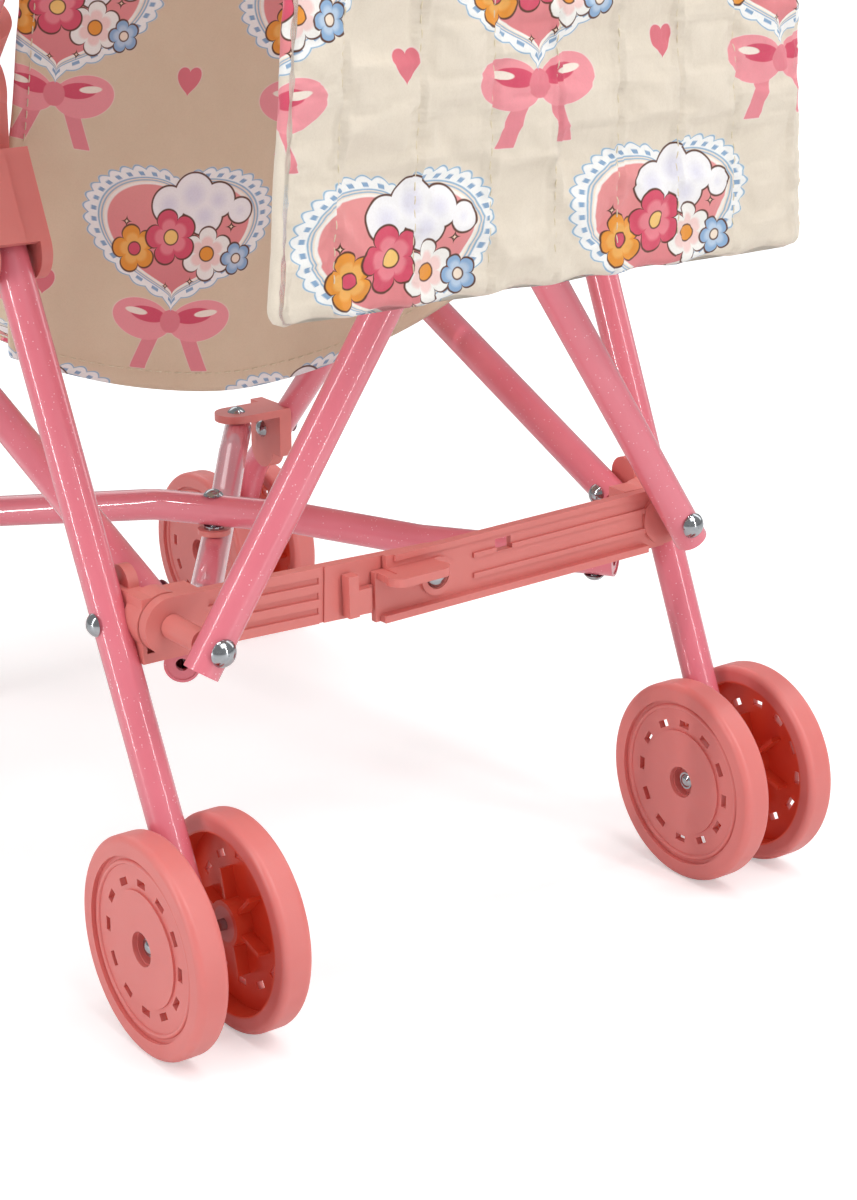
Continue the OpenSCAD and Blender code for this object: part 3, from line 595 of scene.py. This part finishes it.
def backrest_surface(rows=110, columns=90):
    """Points of the backrest from its top to its hem, and their flat places in mm."""
    tube = {z: section_centre("left_main_tube", 2, z) for z in (BACK_FREE, BACK_TOP)}
    top, free = tube[BACK_TOP], tube[BACK_FREE]
    s = np.linspace(-1, 1, columns)[None, :]
    t = np.linspace(0, 1, rows)[:, None]
    half_low = EDGE_LOW - 0.006
    low = hem_height(half_low * s)
    z = BACK_TOP + (low - BACK_TOP) * t
    rise = smooth_step((z - (BACK_FREE - 0.016)) / 0.020)
    share = (z - free.z) / (top.z - free.z)
    tube_x = free.x + (top.x - free.x) * share - SLEEVE_R
    tube_y = free.y + (top.y - free.y) * np.maximum(share, 0)
    narrow = 0.007 * smooth_step((0.245 - z) / 0.07)
    half = EDGE_LOW - narrow + (tube_x - EDGE_LOW) * rise
    x = half * s
    centre_y = curve_through(z, [0.170, 0.176, 0.21, 0.25, 0.30, 0.34, 0.44],
                             [0.0025, HEM_Y, 0.008, 0.016, 0.028, free.y - 0.007, top.y + 0.004])
    y = centre_y + (tube_y - centre_y) * smooth_step((z - 0.325) / 0.02) * np.abs(s) ** 3
    sag = (1 - s**2) * smooth_step((z - 0.30) / 0.08) * smooth_step((BACK_TOP - z) / 0.02)
    y = y - 0.004 * sag
    folds = np.sin(x / 0.0125 + 0.8) * 0.5 + np.sin(x / 0.0073 + 2.0 + z * 20) * 0.3
    y = y + 0.0016 * folds * smooth_step((0.40 - z) / 0.10) * (1 - 0.6 * np.abs(s))
    y = y + 0.0012 * wobble(x, z, z * 0, 0.045) + 0.0018 * np.abs(s) ** 6 * np.sin(z / 0.011)
    grid = np.stack([x, y, z], axis=2)
    down = np.linalg.norm(np.diff(grid, axis=0), axis=2).mean(axis=1)
    run = np.concatenate([[0], np.cumsum(down)])[:, None]
    flat = np.stack([-x / MM, -run / MM + 0 * x, 0 * x], axis=2)
    return grid, flat


PRINT_BACK = (-38.0, 219.0)     # flat place in mm that is the centre of a motif on the backrest


def build_backrest(cloth, thread):
    grid, flat = backrest_surface()
    flat[..., 0] -= PRINT_BACK[0]
    flat[..., 1] += PRINT_BACK[1]
    rows = grid.shape[0]
    to_hem = (np.linspace(1, 0, rows) * (BACK_TOP - HEM_LOW))[:, None]
    hem = smooth_step((HEM_FOLD - to_hem) / (1.5 * MM)) + 0 * grid[..., 0]
    piece = closed_sheet("backrest", grid, flat, SHEET_T * (1 + 0.9 * hem), cloth)
    n = grid_normals(grid)
    if n[rows // 2, grid.shape[1] // 2, 1] < 0:
        n = -n
    surface = grid + n * SHEET_T * 0.95
    hem_row = int(round((1 - HEM_SEAM / (BACK_TOP - HEM_LOW)) * (rows - 1)))
    lines = [(surface[hem_row], n[hem_row]), (surface[3], n[3])]
    for c in (2, -3):
        lines.append((surface[38:hem_row, c], n[38:hem_row, c]))
    seam = stitches("backrest_stitches", lines, thread)
    return piece, seam


def sleeve(name, node, side, axis, start, end, cloth, coil):
    """Cloth sleeve round a tube, with a sewn tab towards the middle plane."""
    a = section_centre(node, axis, start)
    b = section_centre(node, axis, end)
    along = (b - a).normalized()
    inward = Vector((-side, 0, 0))
    inward = (inward - along * inward.dot(along)).normalized()
    third = along.cross(inward)
    rows, columns = 40, 56
    phi = np.linspace(-math.pi, math.pi, columns, endpoint=False)[None, :]
    t = np.linspace(0, 1, rows)[:, None]
    spread = np.exp(-(np.abs(phi) / 0.30) ** 2.2)
    ruffle = 0.35 * np.sin(t * 41 + phi * 2) + 0.35 * np.sin(t * 23 - phi * 3 + 1)
    radius = SLEEVE_R + TAB * spread + 0.0005 * ruffle * (1 - spread)
    squeeze = 1 - 0.55 * np.exp(-((np.abs(phi) - 0.5) / 0.35) ** 2) * (np.abs(phi) < 1.6)
    u = radius * np.cos(phi)
    w = radius * np.sin(phi) * (squeeze + 0 * t)
    w = np.where((u > SLEEVE_R * 0.2) & (np.hypot(u, w) < SLEEVE_R * 0.93),
                 np.sign(w) * np.sqrt(np.maximum((SLEEVE_R * 0.93) ** 2 - u**2, 0)), w)
    base = np.array(a)[None, None, :] + np.array(b - a)[None, None, :] * t[..., None]
    grid = base + u[..., None] * np.array(inward) + w[..., None] * np.array(third)
    flat = np.stack([phi * 7.5 + coil + 0 * t, t * (b - a).length / MM + 0 * phi, 0 * t * phi], axis=2)
    return closed_sleeve(name, grid, flat, 0.8 * MM, cloth)


# ---------------------------------------------------------------- seat


PRINT_SEAT = (40, 30)    # flat place in mm of the middle of the seat's rear seam


def seat_surface(rows=90, columns=80):
    """Points of the seat from the seam above the hem to its front edge."""
    front = section_centre("left_seat_rail", 1, -0.140)
    s = np.linspace(-1, 1, columns)[None, :]
    t = np.linspace(0, 1, rows)[:, None]
    y = 0.0005 - 0.1455 * t + 0 * s
    back = -y
    half = curve_through(back, [0, 0.04, 0.07, 0.09, 0.12, 0.15],
                         [0.088, 0.090, 0.0915, front.x - SLEEVE_R - 0.001,
                          front.x - SLEEVE_R, front.x - SLEEVE_R])
    middle = curve_through(back, [0, 0.03, 0.06, 0.10, 0.145], [0.182, 0.177, 0.179, 0.197, 0.233])
    edge = curve_through(back, [0, 0.04, 0.08, 0.10, 0.145], [0.203, 0.201, 0.211, 0.2205, 0.2395])
    x = half * s
    z = middle + (edge - middle) * np.abs(s) ** 2.0
    z = z + 0.0012 * wobble(x, y, 0 * x, 0.04) + 0.0008 * np.sin(x / 0.012) * (1 - s**2)
    y = y + 0.004 * (1 - s**2) * smooth_step((t - 0.8) / 0.2)
    grid = np.stack([x, y, z], axis=2)
    down = np.linalg.norm(np.diff(grid, axis=0), axis=2).mean(axis=1)
    run = np.concatenate([[0], np.cumsum(down)])[:, None]
    flat = np.stack([PRINT_SEAT[0] - x / MM, PRINT_SEAT[1] + run / MM + 0 * x, 0 * x], axis=2)
    return grid, flat


def build_seat(cloth, thread):
    grid, flat = seat_surface()
    rows = grid.shape[0]
    hem = smooth_step((np.linspace(0, 1, rows)[:, None] - 0.95) / 0.01) + 0 * grid[..., 0]
    piece = closed_sheet("seat", grid, flat, SHEET_T * (1 + 0.8 * hem), cloth)
    n = grid_normals(grid)
    if n[rows // 2, grid.shape[1] // 2, 2] < 0:
        n = -n
    surface = grid + n * SHEET_T * 0.95
    lines = [(surface[-5], n[-5]), (surface[3:-3, 2], n[3:-3, 2]), (surface[3:-3, -3], n[3:-3, -3])]
    seam = stitches("seat_stitches", lines, thread)
    return piece, seam


# ---------------------------------------------------------------- quilted bag

# stitch lines across the rear panel, left edge first, as shares of its half width
SEAMS = (1, 0.831, 0.547, 0.267, 0.0135, -0.234, -0.483, -0.726, -1)
CHANNELS = len(SEAMS) - 1
PRINT_BAG = (63.5, 258.0)    # the print's shift across and the height of a motif's centre, in mm
BAG_SHIFT = -0.0038    # the bag hangs a little to the right
BAG_SPREAD = 0.0022    # and bulges past its CAD solid's sides
BAG_TAPER = 0.078      # how much each side leans in per metre of height
SEAM_SINK = 3.2 * MM
PUCKER = 1.3 * MM
GROOVE = 1.0 * MM
BAG_WALL = 2.6 * MM
TAPER_RISE = 0.100     # the sides lean in up to this height
STRAP_INSET = 0.008    # from the bag's upper corner to the middle of a strap's foot


def panel_columns(half, across):
    """x of each column of the rear panel, from its left edge, and its place in channels."""
    place = np.linspace(0, CHANNELS, across)
    return half * np.interp(place, range(CHANNELS + 1), SEAMS), place


def puckers(x, z, place):
    """Depth of the small creases that run out from the stitch lines, and of their groove."""
    to_seam = np.abs((place + 0.5) % 1 - 0.5)
    crease = wobble(x * 0.45, z * 1.9, 0 * x, 0.010) + 0.5 * wobble(x, z * 2.6, 0 * x + 1, 0.006)
    return PUCKER * crease * np.exp(-to_seam / 0.2) - GROOVE * np.exp(-((to_seam / 0.045) ** 2))


def simulated_panel(low, high, across, up):
    """The quilted rear panel as a padded cloth that is held along its seams.
    Returns its points, as rows from the bottom up, with rearward as +Y."""
    xs, place = panel_columns(high.x, across)
    zs = np.linspace(low.z, high.z, up)
    points = [(x, high.y - SEAM_SINK, z) for z in zs for x in xs]
    mesh = bpy.data.meshes.new("panel_cloth")
    mesh.from_pydata(points, [], grid_faces(up, across))
    cloth = bpy.data.objects.new("panel_cloth", mesh)
    bpy.context.scene.collection.objects.link(cloth)
    per = (across - 1) // CHANNELS
    held = [r * across + c for r in range(up) for c in range(across)
            if c % per == 0 or r in (0, up - 1)]
    cloth.vertex_groups.new(name="held").add(held, 1.0, "REPLACE")
    sim = cloth.modifiers.new("Cloth", "CLOTH")
    s = sim.settings
    s.quality = 6
    s.mass = 0.25
    s.tension_stiffness = s.compression_stiffness = 12
    s.shear_stiffness = 4
    s.bending_stiffness = 0.25
    s.effector_weights.gravity = 0
    s.use_pressure = True
    s.uniform_pressure_force = 3.0
    s.shrink_min = -0.05
    s.vertex_group_mass = "held"
    sim.collision_settings.use_collision = False
    scene = bpy.context.scene
    scene.frame_start, scene.frame_end = 1, 24
    for number in range(1, 25):
        scene.frame_set(number)
    shown = cloth.evaluated_get(bpy.context.evaluated_depsgraph_get())
    result = np.array([v.co for v in shown.data.vertices]).reshape(up, across, 3)
    scene.frame_set(1)
    bpy.data.objects.remove(cloth)
    rest = np.array(points).reshape(up, across, 3)
    move = np.clip(result - rest, -0.0055, 0.0055)
    x, z = xs[None, :] + 0 * zs[:, None], zs[:, None] + 0 * xs[None, :]
    move[..., 1] += puckers(x, z, place[None, :])
    return rest + move


SOLE_ROWS = 6     # rows of the bag's outer side that lie under its inner bottom


def build_bag(cloth, thread, trim):
    """A closed, hollow bag: a quilted rear panel, soft sides, a rounded bottom, an open top."""
    low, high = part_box("rear_bag")
    up, per = 130, 16
    across = CHANNELS * per + 1
    inset = 0.0035
    full = (high.x - low.x) / 2 + BAG_SPREAD - inset
    make = simulated_panel
    rear = make(Vector((-full, low.y, low.z)), Vector((full, high.y, high.z)), across, up)
    zs = np.linspace(low.z, high.z, up)
    corner_r, sole_r = 0.006, 0.005
    above = zs - low.z
    tuck = np.where(above < corner_r, corner_r - np.sqrt(
        np.maximum(corner_r**2 - (corner_r - above) ** 2, 0)), 0)
    round_off = np.where(above < sole_r, np.sqrt(
        np.maximum(1 - ((sole_r - above) / sole_r) ** 2, 0)), 1.0)
    middle_y = (low.y + high.y) / 2
    arc, front = 10, 60
    rings = []
    for r in range(up):
        half = full - BAG_TAPER * min(above[r], TAPER_RISE)
        squeeze = (half - tuck[r]) / half
        back = rear[r].copy()
        back[:, 0] *= half / full * squeeze
        front_x = np.linspace(-half, half, front) * squeeze
        ripple = 0.0006 * np.sin(front_x / 0.014 + r * 0.03)
        thin = 0.005 * np.linspace(-1, 1, front) ** 8
        face = np.stack([front_x, low.y + 0.0008 + ripple + thin, np.full(front, zs[r])], axis=1)
        turns = np.linspace(0, math.pi, arc + 2)[1:-1]
        reach = inset * 0.9
        depth = (back[-1, 1] - face[0, 1]) / 2
        mid = (back[-1, 1] + face[0, 1]) / 2
        pinch = 1 + 0.075 * math.sin(zs[r] * 160)
        right = np.stack([-half * squeeze - reach * pinch * np.sin(turns) ** 0.7,
                          mid + depth * np.cos(turns), np.full(arc, zs[r])], axis=1)
        left = np.stack([half * squeeze + reach * pinch * np.sin(turns) ** 0.7,
                         mid - depth * np.cos(turns), np.full(arc, zs[r])], axis=1)
        ring = np.concatenate([back, right, face, left])
        ring[:, 1] = middle_y + (ring[:, 1] - middle_y) * max(round_off[r], 0.03)
        sag = 0.0016 * np.sin(np.pi * (ring[:, 0] / half * 4 + 0.5)) ** 2 * max(0, 1 - above[r] / 0.03)
        ring[:, 2] -= sag - 0.0016
        ring[:, 0] += BAG_SHIFT
        rings.append(ring)
    outer = np.array(rings)
    count = outer.shape[1]
    n = grid_normals(outer, wrap=True)
    if n[up // 2, across // 2, 1] < 0:
        n = -n
    inner = (outer - n * BAG_WALL)[SOLE_ROWS:]
    inner[0, :, 1] = middle_y + (inner[0, :, 1] - middle_y) * 0.5
    path = np.cumsum(np.linalg.norm(outer - np.roll(outer, 1, axis=1), axis=2).mean(axis=0)) / MM
    centre = path[across // 2]
    u = np.broadcast_to(path - centre, outer.shape[:2])
    v = outer[..., 2] / MM
    to_seam = np.full(count, 20.0)
    seam_columns = np.arange(0, across, per)
    for c in range(across):
        to_seam[c] = np.abs(path[seam_columns] - path[c]).min()
    flat_outer = np.stack([u, v, to_seam + 0 * u], axis=2)
    flat_inner = flat_outer[SOLE_ROWS:]
    points = np.concatenate([outer.reshape(-1, 3), inner.reshape(-1, 3)])
    start = up * count
    faces = grid_faces(up, count, wrap=True)
    faces += grid_faces(inner.shape[0], count, start, flip=True, wrap=True)
    faces.append(tuple(range(count))[::-1])
    faces.append(tuple(range(start, start + count)))
    top_o, top_i = (up - 1) * count, start + (inner.shape[0] - 1) * count
    for c in range(count):
        d = (c + 1) % count
        faces.append((top_o + c, top_o + d, top_i + d, top_i + c))
    flat = np.concatenate([flat_outer.reshape(-1, 3), flat_inner.reshape(-1, 3)])
    flat[:, 0] += PRINT_BAG[0]
    flat[:, 1] -= PRINT_BAG[1]
    piece = make_object("quilted_bag", points, faces, cloth, flat)
    lines = []
    for k in range(1, CHANNELS):
        c = k * per
        line = outer[SOLE_ROWS:, c] - np.array([0, 0.15 * MM, 0])
        lines.append((line, n[SOLE_ROWS:, c]))
    seam = stitches("bag_stitches", lines, thread)
    return piece, seam, bag_binding(outer, inner, trim)


def bag_binding(outer, inner, trim):
    """Folded tape over the bag's open edge."""
    rim, drop = [], 0.009
    for c in range(outer.shape[1]):
        o, i = outer[-1, c], inner[-1, c]
        out = (o - i) / max(np.linalg.norm(o - i), 1e-9)
        profile = [o + out * 0.0006 - np.array([0, 0, drop]), o + out * 0.0011 - np.array([0, 0, drop / 2]),
                   o + out * 0.0009, (o + i) / 2 + np.array([0, 0, 0.0012]), i - out * 0.0009,
                   i - out * 0.0011 - np.array([0, 0, drop / 2]), i - out * 0.0006 - np.array([0, 0, drop])]
        rim.append(profile)
    grid = np.array(rim)
    columns, parts = grid.shape[:2]
    points = grid.reshape(-1, 3)
    faces = []
    for c in range(columns):
        d = (c + 1) % columns
        for k in range(parts):
            e = (k + 1) % parts
            faces.append((c * parts + k, d * parts + k, d * parts + e, c * parts + e))
    flat = np.stack([points[:, 0] / MM, points[:, 2] / MM, 0 * points[:, 0]], axis=1)
    return make_object("bag_binding", points, faces, trim, flat)


def bag_strap(name, side, trim):
    """Webbing that loops over the handle tube and is sewn into the bag's corner."""
    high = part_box("rear_bag")[1]
    strap_low, strap_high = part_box("left_bag_strap")
    y_mid = (strap_low.y + strap_high.y) / 2
    width = 0.010
    hang = section_centre("left_main_tube", 1, y_mid)
    centre = np.array([hang.x, hang.z])
    radius = TUBE_R + 1.0 * MM
    foot = np.array([high.x - TAPER_RISE * BAG_TAPER - STRAP_INSET, high.z - 0.014])
    toward = foot - centre
    gap = np.linalg.norm(toward)
    facing = math.atan2(toward[1], toward[0])
    spread = math.acos(radius / gap)
    a0, a1 = facing + spread, facing + 2 * math.pi - spread
    loop = [centre + radius * np.array([math.cos(a), math.sin(a)]) for a in np.linspace(a0, a1, 28)]
    run_in = [foot + (loop[0] - foot) * t for t in np.linspace(0, 1, 14, endpoint=False)]
    run_out = [loop[-1] + (foot - loop[-1]) * t for t in np.linspace(0, 1, 15)[1:]]
    path = np.array(run_in + loop + run_out)
    bow = np.concatenate([np.linspace(0, 1, 14), np.ones(28), np.linspace(1, 0, 14)])
    path[:14, 0] += 0.0009
    path[-14:, 0] -= 0.0009
    ys = np.linspace(-width / 2, width / 2, 9)[None, :]
    grid = np.stack([path[:, 0][:, None] * side + 0 * ys, y_mid + ys + 0 * path[:, :1],
                     path[:, 1][:, None] + 0 * ys], axis=2)
    grid[..., 0] += 0.0003 * bow[:, None] * np.cos(ys / width * math.pi)
    run = np.cumsum(np.concatenate([[0], np.linalg.norm(np.diff(path, axis=0), axis=1)])) / MM
    flat = np.stack([ys / MM + 0 * run[:, None] + 54, run[:, None] + 60 + 0 * ys, 0 * grid[..., 0]], axis=2)
    return closed_sheet(name, grid, flat, 1.2 * MM, trim)


# ---------------------------------------------------------------- putting it together

paint = sparkle_paint()
coral = moulded_plastic("coral_plastic", "#d4756f", "#de857e", 0.42)
# the wheels' hollows get a painted glow in this red
wheel_coral = moulded_plastic("wheel_plastic", "#d6726e", "#e0837e", 0.38, glow_colour="#dc4f33")
grip_coral = moulded_plastic("grip_plastic", "#d6756f", "#df857f", 0.55, 500)
steel = plated_steel()
motif = motif_group()
# painted shade: the backrest, seat and sleeves are the same cream cotton as the bag, and this darker, warmer base
# colour stands in for the shade they hang in
printed = cloth_material("printed_cotton", motif, "#d8c2a6", "#e2cfb5")
quilted = cloth_material("quilted_cotton", motif, "#dfd3c1", "#e8ddcd", quilted=True)
plain_tape = cloth_material("cotton_tape", motif, "#ddcdb8", "#e8dac6")
thread = thread_material()

FINISH = {
    "tube_paint": paint,
    "plastic": coral,
    "wheel_plastic": wheel_coral,
    "grip_plastic": grip_coral,
    "chrome": steel,
    "printed_cloth": printed,
    "quilted_cloth": quilted,
}
for node_name, node in NODES.items():
    node.data.materials.clear()
    node.data.materials.append(FINISH[SLOT_OF[node_name]])

FOLD = next(j for j in frame["joints"] if j["name"] == "fold")["range_m"][1]


def fold_with(pieces, right_x, left_x):
    """Puts pieces on the left side frame, each with a mesh of its own; they do not crumple as the frames fold.
    right_x and left_x only go into a share that is not used.
    """
    for piece in pieces:
        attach(piece, "left_frame")
        1 - FOLD / (left_x - right_x)
        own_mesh(piece)


backrest, backrest_seam = build_backrest(printed, thread)
back_edge = section_centre("left_main_tube", 2, BACK_MIDDLE).x - SLEEVE_R
fold_with([backrest, backrest_seam], -EDGE_LOW, back_edge)
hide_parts("backrest_cloth")
for side, label in ((1, "left"), (-1, "right")):
    tube_sleeve = sleeve(f"{label}_back_sleeve", f"{label}_main_tube", side, 2,
                         BACK_FREE + 0.002, BACK_TOP, printed, 20)
    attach(tube_sleeve, f"{label}_frame")

seat, seat_seam = build_seat(printed, thread)
rail_edge = section_centre("left_seat_rail", 1, -0.11).x - SLEEVE_R
fold_with([seat, seat_seam], -rail_edge, rail_edge)
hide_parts("seat_cloth")
for side, label in ((1, "left"), (-1, "right")):
    tube_sleeve = sleeve(f"{label}_seat_sleeve", f"{label}_seat_rail", side, 1,
                         *RAIL_SLEEVE, printed, 70)
    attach(tube_sleeve, f"{label}_frame")

bag, bag_seam, bag_tape = build_bag(quilted, thread, plain_tape)
strap_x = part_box("rear_bag")[1].x - TAPER_RISE * BAG_TAPER - STRAP_INSET
fold_with([bag, bag_seam, bag_tape], -strap_x, strap_x)
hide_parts("rear_bag")
for side, label in ((1, "left"), (-1, "right")):
    strap = bag_strap(f"{label}_strap", side, plain_tape)
    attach(strap, f"{label}_frame")
    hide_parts(f"{label}_bag_strap")

# ---------------------------------------------------------------- stage, light and camera


def add_floor():
    mesh = bpy.data.meshes.new("floor")
    reach = 9.0    # half of its side
    mesh.from_pydata([(-reach, -reach, 0), (reach, -reach, 0), (reach, reach, 0), (-reach, reach, 0)],
                     [], [(0, 1, 2, 3)])
    floor = bpy.data.objects.new("floor", mesh)
    bpy.context.scene.collection.objects.link(floor)
    mat, tree, shader = new_material("floor", Roughness=0.6)
    shader.inputs["Emission Color"].default_value = (1, 1, 1, 1)
    seen = Value(tree, tree.nodes.new("ShaderNodeLightPath").outputs["Is Camera Ray"])
    split = tree.nodes.new("ShaderNodeSeparateXYZ")
    tree.links.new(object_coordinates(tree), split.inputs[0])
    away = length(Value(tree, split.outputs[0]), Value(tree, split.outputs[1]))
    tree.links.new((seen * (away * 0.18 + 0.34)).socket, shader.inputs["Emission Strength"])
    where = object_coordinates(tree)
    tree.links.new(mixed(tree, noise_value(tree, where, 3), linear("#ececec"), linear("#f2f2f2")),
                   shader.inputs["Base Color"])
    mesh.materials.append(mat)


def add_area(name, place, target, size, power):
    data = bpy.data.lights.new(name, "AREA")
    data.shape, data.size, data.size_y = "RECTANGLE", size[0], size[1]
    data.energy = power
    lamp = bpy.data.objects.new(name, data)
    lamp.location = place
    lamp.rotation_mode = "QUATERNION"
    lamp.rotation_quaternion = (Vector(target) - Vector(place)).to_track_quat("-Z", "Y")
    bpy.context.scene.collection.objects.link(lamp)


def add_camera():
    """The viewpoint: behind the stroller, to its left, looking slightly down."""
    azimuth, elevation = math.radians(143.763), math.radians(19.166)
    back = Vector((math.sin(azimuth) * math.cos(elevation),
                   -math.cos(azimuth) * math.cos(elevation), math.sin(elevation)))
    data = bpy.data.cameras.new("camera")
    data.sensor_width = 36
    data.lens = 77.4
    camera = bpy.data.objects.new("camera", data)
    camera.location = (0.50587, 0.80505, 0.41897)
    camera.rotation_mode = "QUATERNION"
    camera.rotation_quaternion = (-back).to_track_quat("-Z", "Y")
    bpy.context.scene.collection.objects.link(camera)
    bpy.context.scene.camera = camera


add_floor()
aim = (0, 0, 0.2)
add_area("key", (-0.1, 1.2, 1.8), aim, (1.2, 1.0), 13)
add_area("left_strip", (1.55, 0.05, 0.75), aim, (0.045, 1.9), 12)
add_area("right_strip", (-0.35, 1.55, 0.75), aim, (0.045, 1.8), 8)
add_area("top_strip", (0.1, 0.35, 1.9), aim, (1.5, 0.04), 6)
add_area("far_side", (-1.5, 0.2, 1.1), aim, (0.5, 1.6), 5)
add_area("front", (-0.3, -1.6, 1.2), aim, (1.4, 1.0), 6)
world = bpy.data.worlds.new("studio")
world.use_nodes = True
backdrop = world.node_tree.nodes["Background"]
backdrop.inputs[0].default_value = (1, 1, 1, 1)
seen = Value(world.node_tree, world.node_tree.nodes.new("ShaderNodeLightPath").outputs["Is Camera Ray"])
world.node_tree.links.new((seen * 0.62 + 0.38).socket, backdrop.inputs[1])
bpy.context.scene.world = world
bpy.context.scene.view_settings.view_transform = "Standard"
add_camera()

bpy.context.view_layer.update()
